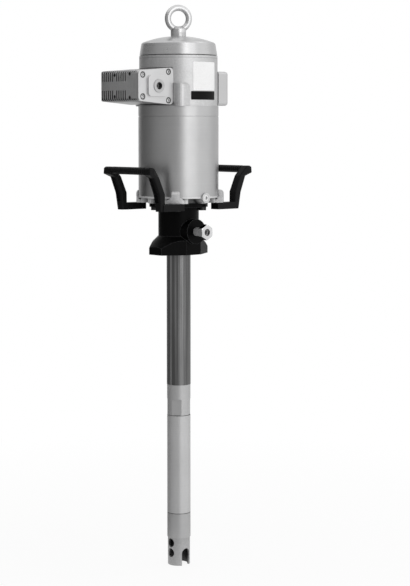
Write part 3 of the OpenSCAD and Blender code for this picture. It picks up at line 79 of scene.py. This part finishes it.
# The muffler's cover, whose slots and inside are darkened as painted shade. A pair is where a mask starts to
# fade and where it ends
SLOT_FIRST_Y, SLOT_PITCH = -0.011, 0.0053
SLOT_SIDE = (0.00138, 0.00148)
SLOT_MOUTH_X = (-0.1199, -0.1192)
COVER_INSIDE_X = (-0.1190, -0.1182)
COVER_INSIDE_RISE = (0.0215, 0.0225)
COVER_REAR_Y = (0.0490, 0.0496)

# Distances from the axis between which the painted shade inside hollows and at joints fades
BASE_INSIDE = (0.050, 0.061)
PUMP_INSIDE = (0.0186, 0.0190)
FOOT_INSIDE = (0.0145, 0.0178)

# The ribs of the grips: 5 mm apart, from this height on and between these ends
RIB_WAVES = 1250.0
RIB_DEPTH = 0.0006
RIB_LOW_Z = (0.120, 0.124)
RIB_END_Y = (0.043, 0.047)

# How far from an edge its rounding reaches
EDGE = 0.0005


def heading(angle):
    """The level direction at an angle in radians, 0 towards the viewer and growing to the picture's right."""
    return TOWARD * math.cos(angle) + RIGHT * math.sin(angle)


# ---------------------------------------------------------------- camera
def make_camera():
    """Looks at the pump's front from a little above its flange."""
    data = bpy.data.cameras.new("camera")
    cam = bpy.data.objects.new("camera", data)
    scene.collection.objects.link(cam)
    distance, height = 2.6, 0.2105
    yaw, pitch = math.radians(0.949), math.radians(3.918)
    level = -TOWARD * math.cos(yaw) + RIGHT * math.sin(yaw)
    forward = level * math.cos(pitch) + Vector((0, 0, -math.sin(pitch)))
    side = forward.cross(Vector((0, 0, 1))).normalized()
    up = side.cross(forward)
    place = TOWARD * distance + Vector((0, 0, height))
    cam.matrix_world = Matrix((
        (side.x, up.x, -forward.x, place.x),
        (side.y, up.y, -forward.y, place.y),
        (side.z, up.z, -forward.z, place.z),
        (0, 0, 0, 1),
    ))
    data.sensor_width = 36
    data.lens = 98.2
    data.shift_y = -0.1012
    data.clip_start, data.clip_end = 0.1, 200
    scene.camera = cam


# ---------------------------------------------------------------- node helpers
class Tree:
    """A node tree with short names for what is used here."""

    def __init__(self, tree):
        self.tree = tree

    def node(self, kind, **props):
        made = self.tree.nodes.new(kind)
        for key, value in props.items():
            setattr(made, key, value)
        return made

    def link(self, out, into):
        """Joins an output to an input, or sets the input to fixed numbers."""
        if isinstance(out, bpy.types.NodeSocket):
            self.tree.links.new(out, into)
        else:
            into.default_value = out

    def math(self, op, *terms):
        made = self.node("ShaderNodeMath", operation=op)
        for term, into in zip(terms, made.inputs):
            self.link(term, into)
        return made.outputs[0]

    def vector(self, op, *terms):
        """A vector operation; a dot product or a length gives a number."""
        made = self.node("ShaderNodeVectorMath", operation=op)
        for term, into in zip(terms, made.inputs):
            self.link(term, into)
        return made.outputs["Value" if op in ("DOT_PRODUCT", "LENGTH") else "Vector"]

    def spread(self, value, lo, hi, a, b):
        """value's lo to hi is drawn out to a to b and held there."""
        made = self.node("ShaderNodeMapRange", clamp=True)
        terms = {"Value": value, "From Min": lo, "From Max": hi, "To Min": a, "To Max": b}
        for name, term in terms.items():
            self.link(term, made.inputs[name])
        return made.outputs["Result"]

    def seen(self):
        """1 for what is looked at, straight, mirrored or through something, and 0 for light on a surface."""
        path = self.node("ShaderNodeLightPath")
        outward = self.math("MAXIMUM", path.outputs["Is Camera Ray"], path.outputs["Is Glossy Ray"])
        return self.math("MAXIMUM", outward, path.outputs["Is Transmission Ray"])


class Shader(Tree):
    """A material of its own, worked in the object's coordinates."""

    def __init__(self, name):
        self.material = bpy.data.materials.new(name)
        self.material.use_nodes = True
        super().__init__(self.material.node_tree)
        self.bsdf = self.tree.nodes["Principled BSDF"]
        self.coords = self.node("ShaderNodeTexCoord").outputs["Object"]

    def axis(self, name):
        apart = self.node("ShaderNodeSeparateXYZ")
        self.link(self.coords, apart.inputs[0])
        return apart.outputs[name]

    def level(self):
        """The coordinates with no height, as seen from the pump's axis."""
        return self.vector("MULTIPLY", self.coords, (1, 1, 0))

    def off(self, name, middle):
        """How far a coordinate is from middle."""
        return self.math("ABSOLUTE", self.math("SUBTRACT", self.axis(name), middle))

    def around(self):
        """The angle about the pump's axis, counted as heading counts."""
        aside, ahead = (self.vector("DOT_PRODUCT", self.coords, way) for way in (RIGHT, TOWARD))
        return self.math("ARCTAN2", aside, ahead)

    def noise(self, stretch, detail, rough=0.55):
        """Noise of 0 to 1; stretch is its cells a metre, one number or one along each axis."""
        mapping = self.node("ShaderNodeMapping")
        self.link(stretch if isinstance(stretch, tuple) else (stretch,) * 3, mapping.inputs["Scale"])
        self.link(self.coords, mapping.inputs["Vector"])
        made = self.node("ShaderNodeTexNoise")
        self.link(1.0, made.inputs["Scale"])
        self.link(detail, made.inputs["Detail"])
        self.link(rough, made.inputs["Roughness"])
        self.link(mapping.outputs["Vector"], made.inputs["Vector"])
        return made.outputs["Fac"]

    def vary(self, noise, a, b):
        """The range where most of a noise lies, drawn out to a to b."""
        return self.spread(noise, 0.3, 0.7, a, b)

    def tint(self, colour, factor):
        """The base colour, times a varying factor; a single number is a grey."""
        if isinstance(colour, float):
            colour = (colour, colour, colour * 1.005)
        made = self.node("ShaderNodeVectorMath", operation="SCALE")
        self.link(colour, made.inputs[0])
        self.link(factor, made.inputs["Scale"])
        self.link(made.outputs["Vector"], self.bsdf.inputs["Base Color"])

    def edge(self, radius):
        """The normal rounded at the edges, and how far it turns there, 0 on a flat."""
        bevel = self.node("ShaderNodeBevel", samples=4)
        self.link(radius, bevel.inputs["Radius"])
        rounded = bevel.outputs["Normal"]
        plain = self.node("ShaderNodeNewGeometry").outputs["Normal"]
        barely, fully = 0.995, 0.8
        return rounded, self.spread(self.vector("DOT_PRODUCT", rounded, plain), barely, fully, 0.0, 1.0)

    def bump(self, height, distance, normal):
        made = self.node("ShaderNodeBump")
        self.link(1.0, made.inputs["Strength"])
        self.link(distance, made.inputs["Distance"])
        self.link(height, made.inputs["Height"])
        self.link(normal, made.inputs["Normal"])
        return made.outputs["Normal"]

    def slot_shade(self):
        """Painted shade: 1 within the muffler's slots and inside its cover, 0 elsewhere."""
        x, y = self.axis("X"), self.axis("Y")
        aside = self.math("PINGPONG", self.math("SUBTRACT", y, SLOT_FIRST_Y), SLOT_PITCH / 2)
        slot = self.math("MULTIPLY", self.spread(x, *SLOT_MOUTH_X, 0.0, 1.0),
                         self.spread(aside, *SLOT_SIDE, 1.0, 0.0))
        within = self.math("MULTIPLY", self.spread(x, *COVER_INSIDE_X, 0.0, 1.0),
                           self.spread(self.off("Z", VALVE_Z), *COVER_INSIDE_RISE, 1.0, 0.0))
        before_rear = self.spread(y, *COVER_REAR_Y, 1.0, 0.0)
        return self.math("MULTIPLY", self.math("MAXIMUM", slot, within), before_rear)

    def glow(self, strength):
        made = self.node("ShaderNodeEmission")
        self.link(strength, made.inputs["Strength"])
        return made.outputs["Emission"]

    def show(self, out):
        """Gives the surface this look in place of the plain one."""
        into = next(n for n in self.tree.nodes if n.type == "OUTPUT_MATERIAL")
        self.link(out, into.inputs["Surface"])


# ---------------------------------------------------------------- finishes
looks = {}


def finish_metal(name, colour, rough, marks, metallic=1.0, edge_gain=0.25, patches=0.05, cavity=None,
                 slots=False, seam=None, line=None, recess=None, bands=()):
    """A metal, kept in looks.

    marks are (stretch, how much the colour varies, how much the roughness varies, depth in metres). cavity is
    two distances from the pump's axis: inside the first the metal is darkened as painted shade in its hollows
    and joints. slots paints shade inside the exhaust slots and the cover, seam is a height below which the
    metal is darkened as a painted shade line, and line is the height of a fine turned line. recess is the
    share of the colour that is left in sockets and corners, as painted shade where little light reaches.
    bands are painted
    reflections along the axis: (angle, half width, share of the colour), in degrees, each on both sides of
    the axis."""
    inside_shade_share, seam_shade_share, line_share, slot_shade_share = 0.16, 0.12, 0.72, 0.10
    seam_fade, line_core, line_fade = 0.0002, 0.0003, 0.0006
    corner_reach, corner_closed, corner_open = 0.005, 0.30, 0.85
    s = Shader(name)
    normal, edge_wear_and_glint = s.edge(EDGE)
    factor = s.vary(s.noise(14, 4), 1 - patches, 1 + patches)
    dull = s.vary(s.noise(45, 3), rough * 0.92, rough * 1.08)
    for stretch, share, dulling, depth in marks:
        grain = s.noise(stretch, 3)
        factor = s.math("MULTIPLY", factor, s.vary(grain, 1 - share, 1 + share))
        dull = s.math("ADD", dull, s.vary(grain, -dulling, dulling))
        normal = s.bump(grain, depth, normal)
    # Edges lightened partly as wear and partly as a painted highlight
    factor = s.math("MULTIPLY_ADD", edge_wear_and_glint, edge_gain, factor)
    masks = []
    # Painted shade inside hollows and at joints, nearer the axis than the cavity's first distance
    if cavity:
        masks.append(s.spread(s.vector("LENGTH", s.level()), *cavity, inside_shade_share, 1.0))
    # Painted shade: the metal below the seam's height is darkened as the shaded groove of the seam
    if seam:
        masks.append(s.spread(s.axis("Z"), seam - seam_fade, seam, seam_shade_share, 1.0))
    if line:
        masks.append(s.spread(s.off("Z", line), line_core, line_fade, line_share, 1.0))
    # Painted shade inside the exhaust slots and the cover
    if slots:
        masks.append(s.spread(s.slot_shade(), 0.0, 1.0, 1.0, slot_shade_share))
    # Painted shade: sockets, corners and crevices are darkened by ambient occlusion, where little light
    # reaches
    if recess:
        occlusion = s.node("ShaderNodeAmbientOcclusion", samples=8)
        s.link(corner_reach, occlusion.inputs["Distance"])
        masks.append(s.spread(occlusion.outputs["AO"], corner_closed, corner_open, recess, 1.0))
    # Painted reflections: streaks lighter or darker at fixed angles round the axis
    if bands:
        angle = s.around()
        for centre, half, share in bands:
            off = s.math("PINGPONG", s.math("SUBTRACT", angle, math.radians(centre)), math.pi / 2)
            width = math.radians(half)
            masks.append(s.spread(off, width * 0.4, width, share, 1.0))
    for mask in masks:
        factor = s.math("MULTIPLY", factor, mask)
    s.tint(colour, factor)
    s.link(dull, s.bsdf.inputs["Roughness"])
    s.link(normal, s.bsdf.inputs["Normal"])
    s.bsdf.inputs["Metallic"].default_value = metallic
    looks[name] = s.material


def finish_dull(name, colour, rough, grain, depth, specular=0.5, edge_gain=0.3, edge=EDGE, patches=0.12,
                ribs=False):
    """Plastic, paint, rubber or felt, kept in looks: a colour with fine grain, and edges lightened partly by
    wear and partly as a painted highlight.

    grain is its cells a metre, and depth how deep they are. ribs go round the handles' grips."""
    s = Shader(name)
    normal, edge_wear_and_glint = s.edge(edge)
    pebble = s.noise(grain, 4, 0.6)
    factor = s.vary(s.noise(22, 4), 1 - patches, 1 + patches)
    factor = s.math("MULTIPLY", factor, s.vary(pebble, 0.92, 1.08))
    s.tint(colour, s.math("MULTIPLY_ADD", edge_wear_and_glint, edge_gain, factor))
    s.link(s.vary(pebble, rough * 0.9, rough * 1.1), s.bsdf.inputs["Roughness"])
    normal = s.bump(pebble, depth, normal)
    if ribs:
        wave = s.math("SINE", s.math("MULTIPLY", s.axis("Y"), RIB_WAVES))
        where = s.math("MULTIPLY", s.spread(s.axis("Z"), *RIB_LOW_Z, 0.0, 1.0),
                       s.spread(s.off("Y", 0.0), *RIB_END_Y, 1.0, 0.0))
        normal = s.bump(s.math("MULTIPLY", wave, where), RIB_DEPTH, normal)
    s.link(normal, s.bsdf.inputs["Normal"])
    s.bsdf.inputs["Specular IOR Level"].default_value = specular
    looks[name] = s.material


# ---------------------------------------------------------------- materials
TURNED = ((3, 3, 2600), 0.05, 0.03, 0.000012)
COARSE_TURNED = ((3, 3, 900), 0.05, 0.03, 0.00002)
BLAST = (1500, 0.06, 0.04, 0.00006)
FINE_BLAST = (2600, 0.04, 0.03, 0.00002)
CAST = (420, 0.08, 0.04, 0.00012)
ALONG = ((230, 230, 2.0), 0.42, 0.06, 0.00001)
FINE_ALONG = ((800, 800, 6), 0.30, 0.05, 0.00001)
# Painted reflections on the suction tube: one light streak and two dark ones at fixed angles round its axis
TUBE_PAINTED_REFLECTIONS = [(-41, 7, 2.4), (-27, 9, 0.72), (50, 22, 0.60)]

finish_metal("eye_steel", 0.62, 0.32, [FINE_BLAST, CAST], patches=0.12)
finish_metal("cap_metal", 0.53, 0.29, [TURNED], metallic=0.8, seam=CAP_SEAM_Z)
finish_metal("head_casting", 0.56, 0.44, [BLAST, CAST], metallic=0.9, line=HEAD_LINE_Z)
finish_metal("cylinder_metal", 0.47, 0.36, [TURNED])
finish_metal("base_metal", 0.64, 0.48, [BLAST, CAST], patches=0.12, metallic=0.6, cavity=BASE_INSIDE,
             recess=0.22)
finish_metal("valve_casting", 0.50, 0.45, [BLAST])
finish_metal("inlet_metal", 0.58, 0.42, [FINE_BLAST])
finish_metal("muffler_metal", 0.56, 0.50, [BLAST, CAST], patches=0.12, slots=True)
finish_metal("transfer_metal", 0.54, 0.45, [FINE_BLAST])
finish_metal("bush_steel", 0.45, 0.34, [TURNED])
finish_metal("screw_steel", 0.74, 0.26, [FINE_BLAST], patches=0.10, recess=0.35)
finish_metal("dark_screws", 0.05, 0.42, [FINE_BLAST], edge_gain=0.8)
finish_metal("nipple_steel", 0.34, 0.40, [FINE_BLAST], metallic=0.25)
finish_metal("fitting_steel", 0.66, 0.16, [FINE_BLAST], patches=0.12)
finish_metal("tube_steel", 0.19, 0.34, [ALONG, FINE_ALONG], bands=TUBE_PAINTED_REFLECTIONS)
finish_metal("coupling_steel", 0.47, 0.42, [TURNED], metallic=0.7)
finish_metal("pump_steel", 0.53, 0.36, [FINE_BLAST, COARSE_TURNED], metallic=0.65, cavity=PUMP_INSIDE)
finish_metal("foot_valve_steel", 0.44, 0.38, [FINE_BLAST, COARSE_TURNED], metallic=0.65, cavity=PUMP_INSIDE)
finish_metal("foot_steel", 0.40, 0.44, [BLAST, CAST], patches=0.14, metallic=0.6, cavity=FOOT_INSIDE)
finish_metal("rod_chrome", 0.70, 0.10, [TURNED], patches=0.02)
finish_metal("ball_steel", 0.72, 0.12, [FINE_BLAST], patches=0.02)
finish_metal("inner_steel", 0.52, 0.33, [COARSE_TURNED])
finish_metal("inner_aluminium", 0.66, 0.34, [COARSE_TURNED])
finish_metal("bronze", (0.60, 0.40, 0.17), 0.34, [TURNED])
# The handles' and the black casting's large edge gains paint highlights on their rims
finish_dull("handle_plastic", (0.0035, 0.0035, 0.0038), 0.44, 1400, 0.00008, specular=0.13, edge_gain=8,
            ribs=True)
finish_dull("black_casting", (0.0018, 0.0018, 0.0019), 0.36, 700, 0.00016, specular=0.05, edge_gain=60,
            edge=0.0008)
finish_dull("rubber_black", (0.018, 0.018, 0.018), 0.6, 1200, 0.00003)
finish_dull("gasket_grey", (0.30, 0.30, 0.30), 0.7, 1200, 0.00003)
finish_dull("felt", (0.020, 0.020, 0.020), 0.95, 900, 0.0003, specular=0.1)
finish_dull("plate_white", (0.95, 0.95, 0.95), 0.34, 900, 0.00001, edge_gain=-0.15, patches=0.03)
finish_dull("plate_black", (0.0025, 0.0025, 0.0025), 0.4, 900, 0.00001, specular=0.1, edge_gain=0.6)

# Nodes that look a shade different from the others of their slot
own_looks = {"foot_valve_body": "foot_valve_steel", "transfer_gasket": "gasket_grey"}
for part in frame["record"]["subparts"]:
    thing = nodes[part["node"]]
    thing.data.materials.clear()
    thing.data.materials.append(looks[own_looks.get(part["node"], part["material_slot"])])


# ---------------------------------------------------------------- mesh helpers
def add_mesh(name, verts, faces):
    mesh = bpy.data.meshes.new(name)
    mesh.from_pydata(verts, [], faces)
    mesh.update()
    made = bpy.data.objects.new(name, mesh)
    scene.collection.objects.link(made)
    return made


def add_piece(name, verts, faces, look):
    """A piece that the solids don't have, on the housing."""
    made = add_mesh(name, verts, faces)
    made.data.materials.append(looks[look])
    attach(made, "housing")
    return made


def skin(rows, count):
    """The faces over rows of count points each, with one over each end."""
    faces = []
    for k in range(rows - 1):
        for j in range(count):
            a, b = count * k + j, count * k + (j + 1) % count
            faces.append((a, a + count, b + count, b))
    last = count * (rows - 1)
    return faces + [tuple(range(count)), tuple(last + j for j in range(count - 1, -1, -1))]


# ---------------------------------------------------------------- bare plates on the head
def curved_plate(name, thick, angles, heights, corner, look):
    """A thin plate bent round the head, with rounded corners; its two angles, in degrees, are heading's."""
    columns = 40
    edge = min(thick * 0.6, 0.0002)
    z0, z1 = heights
    u0, u1 = (math.radians(angle) * HEAD_RADIUS for angle in angles)

    def place(u, z, rise):
        d = heading(u / HEAD_RADIUS) * (HEAD_RADIUS + rise)
        return (d.x, d.y, z)

    def span(u):
        """Lowest and highest z of the plate at u, the distance round the head."""
        inset = max(0.0, u0 + corner - u, u - (u1 - corner))
        rise = corner - math.sqrt(max(0.0, corner * corner - inset * inset))
        return z0 + rise, z1 - rise

    turn = [corner * (1 - math.cos(math.radians(10 * k))) for k in range(10)]
    us = [u0 + t for t in turn]
    us += [u0 + corner + (u1 - u0 - 2 * corner) * k / columns for k in range(1, columns)]
    us += [u1 - t for t in reversed(turn)]
    verts = []
    for u in us:
        low, high = span(u)
        inner = min((high - low) / 2, edge)
        verts += [place(u, low, 0), place(u, low, thick - edge), place(u, low + inner, thick),
                  place(u, high - inner, thick), place(u, high, thick - edge), place(u, high, 0)]
    add_piece(name, verts, skin(len(us), 6), look)


curved_plate("name_plate", 0.0003, (21.5, 65), (0.2640, 0.3095), 0.002, "plate_white")
curved_plate("rating_plate", 0.0004, (18.5, 64.5), (0.2494, 0.2630), 0.001, "plate_black")


# ---------------------------------------------------------------- dark rings painted as the shade round the inlet cover's screws
def screw_shade_ring(name, x, z):
    """A flat dark ring with a rounded edge that lies on a screw's head, facing the front of the valve:
    painted shade on the head's rim and in the counterbore round it.
    """
    turns = 48
    front, inner, outer, thick = -0.0431, 0.0030, 0.0049, 0.0003
    profile = [(inner, 0.0), (inner, thick * 0.6), (inner + thick * 0.5, thick), (outer - thick * 0.5, thick),
               (outer, thick * 0.6), (outer, 0.0)]
    count = len(profile)
    verts, faces = [], []
    for k in range(turns):
        a = 2 * math.pi * k / turns
        verts += [(x + r * math.cos(a), front - h, z + r * math.sin(a)) for r, h in profile]
        step = (k + 1) % turns * count - k * count
        for j in range(count):
            this, after = count * k + j, count * k + (j + 1) % count
            faces.append((this, after, after + step, this + step))
    add_piece(name, verts, faces, "dark_screws")


INLET_SCREWS = ((-0.111, 0.017), (-0.111, -0.017), (-0.0584, 0.0224), (-0.0584, -0.0224))
for number, (x, rise) in enumerate(INLET_SCREWS, 1):
    screw_shade_ring(f"inlet_screw_shade_ring_{number}", x, VALVE_Z + rise)


# ---------------------------------------------------------------- springs of the pilot pins
def pilot_spring(name, node):
    """A wire spring in the solid spring's place."""
    low, high = (Vector(v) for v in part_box(node))
    centre = (low + high) / 2
    wire, travel = 0.0004, 0.003
    radius = (high.x - low.x) / 2 - wire
    turns, per_turn, sides = 5, 28, 12
    height = high.z - low.z - 2 * wire
    closing = 0.045
    rows = turns * per_turn + 1
    verts = []
    for k in range(rows):
        share = k / (turns * per_turn)
        rise = low.z + wire + height * (share - closing * math.sin(2 * math.pi * share))
        a = 2 * math.pi * k / per_turn
        out = Vector((math.cos(a), math.sin(a), 0))
        for j in range(sides):
            b = 2 * math.pi * j / sides
            spot = Vector((centre.x, centre.y, rise)) + out * (radius + wire * math.cos(b))
            verts.append((spot.x, spot.y, spot.z + wire * math.sin(b)))
    made = add_piece(name, verts, skin(rows, sides), "inner_steel")
    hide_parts(node)
    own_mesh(made)


pilot_spring("upper_pilot_wire", "upper_pilot_spring")
pilot_spring("lower_pilot_wire", "lower_pilot_spring")


# ---------------------------------------------------------------- studio
def make_floor():
    """A plain pale floor. The camera sees it as white, and a little of its shading near the pump."""
    low, size = cad_box[0][2] - 0.0002, 60
    corners = [(x, y, low) for x, y in ((-size, -size), (size, -size), (size, size), (-size, size))]
    floor = add_mesh("floor", corners, [(0, 1, 2, 3)])
    s = Shader("floor_pale")
    s.bsdf.inputs["Roughness"].default_value = 0.7
    s.bsdf.inputs["Specular IOR Level"].default_value = 0.2
    s.tint((0.86, 0.86, 0.86), s.vary(s.noise(30, 3), 0.985, 1.0))
    near, far, near_share = 0.55, 1.2, 0.9
    share = s.spread(s.vector("LENGTH", s.coords), near, far, near_share, 1.0)
    mix = s.node("ShaderNodeMixShader")
    s.link(s.math("MULTIPLY", s.seen(), share), mix.inputs["Fac"])
    s.link(s.bsdf.outputs["BSDF"], mix.inputs[1])
    s.link(s.glow(1.0), mix.inputs[2])
    s.show(mix.outputs["Shader"])
    floor.data.materials.append(s.material)


def make_world():
    """White where the camera sees it, and three quarters of that as light."""
    world = bpy.data.worlds.new("studio")
    world.use_nodes = True
    scene.world = world
    light = 0.75
    back = next(n for n in world.node_tree.nodes if n.type == "BACKGROUND")
    back.inputs["Color"].default_value = (1, 1, 1, 1)
    t = Tree(world.node_tree)
    t.link(t.math("MULTIPLY_ADD", t.seen(), 1 - light, light), back.inputs["Strength"])


def make_card(name, first, sweep, levels):
    """A card on the floor and upright behind it, which only reflections show: metal shades off to that side.

    It starts at the angle first and sweeps on, in degrees and the way heading counts. levels are (cosine of
    the angle, glow), from the far side on."""
    low, high, near, reach = cad_box[0][2] + 0.001, 3.2, 0.16, 4.2
    steps = 40
    verts, faces = [], []
    for k in range(steps + 1):
        d = heading(math.radians(first + sweep * k / steps))
        inner, outer = d * near, d * reach
        verts += [(inner.x, inner.y, low), (outer.x, outer.y, low), (outer.x, outer.y, high)]
    for a in range(0, 3 * steps, 3):
        faces += [(a, a + 1, a + 4, a + 3), (a + 1, a + 2, a + 5, a + 4)]
    card = add_mesh(name, verts, faces)
    s = Shader(name)
    facing = s.vector("DOT_PRODUCT", s.vector("NORMALIZE", s.level()), TOWARD)
    level = levels[0][1]
    for (lo, start), (hi, end) in zip(levels, levels[1:]):
        level = s.math("ADD", level, s.spread(facing, lo, hi, 0.0, end - start))
    s.show(s.glow(level))
    card.data.materials.append(s.material)
    card.visible_camera = False
    card.visible_diffuse = False
    card.visible_shadow = False
    card.visible_transmission = False


def make_lamp(name, angle, distance, height, width, tall, watts):
    """A soft area lamp aimed at the motor's foot; its angle, in degrees, is heading's."""
    aim = Vector((0, 0, 0.1))
    data = bpy.data.lights.new(name, "AREA")
    data.shape = "RECTANGLE"
    data.size, data.size_y, data.energy = width, tall, watts
    lamp = bpy.data.objects.new(name, data)
    scene.collection.objects.link(lamp)
    lamp.location = heading(math.radians(angle)) * distance + Vector((0, 0, height))
    lamp.rotation_euler = (aim - lamp.location).to_track_quat("-Z", "Y").to_euler()
    lamp.visible_camera = False


make_camera()
make_floor()
make_world()
make_card("left_card", 10, -150, [(-0.6, 0.15), (0.0, 0.22), (0.4, 0.35), (1.0, 0.47)])
make_card("back_card", -140, -38, [(-1.0, 0.78), (-0.77, 0.50)])
make_card("right_card", 95, 80, [(-1.0, 0.74), (-0.5, 0.80), (-0.1, 0.95)])
make_lamp("key_lamp", 34, 2.3, 0.75, 1.8, 1.9, 7.6)
make_lamp("strip_lamp", 25, 2.3, 0.75, 0.14, 1.9, 1.5)
make_lamp("side_lamp", 85, 2.3, 0.9, 1.7, 1.9, 1.6)
make_lamp("top_lamp", 100, 2.0, 2.4, 1.4, 1.4, 5)

scene.view_settings.view_transform = "Standard"
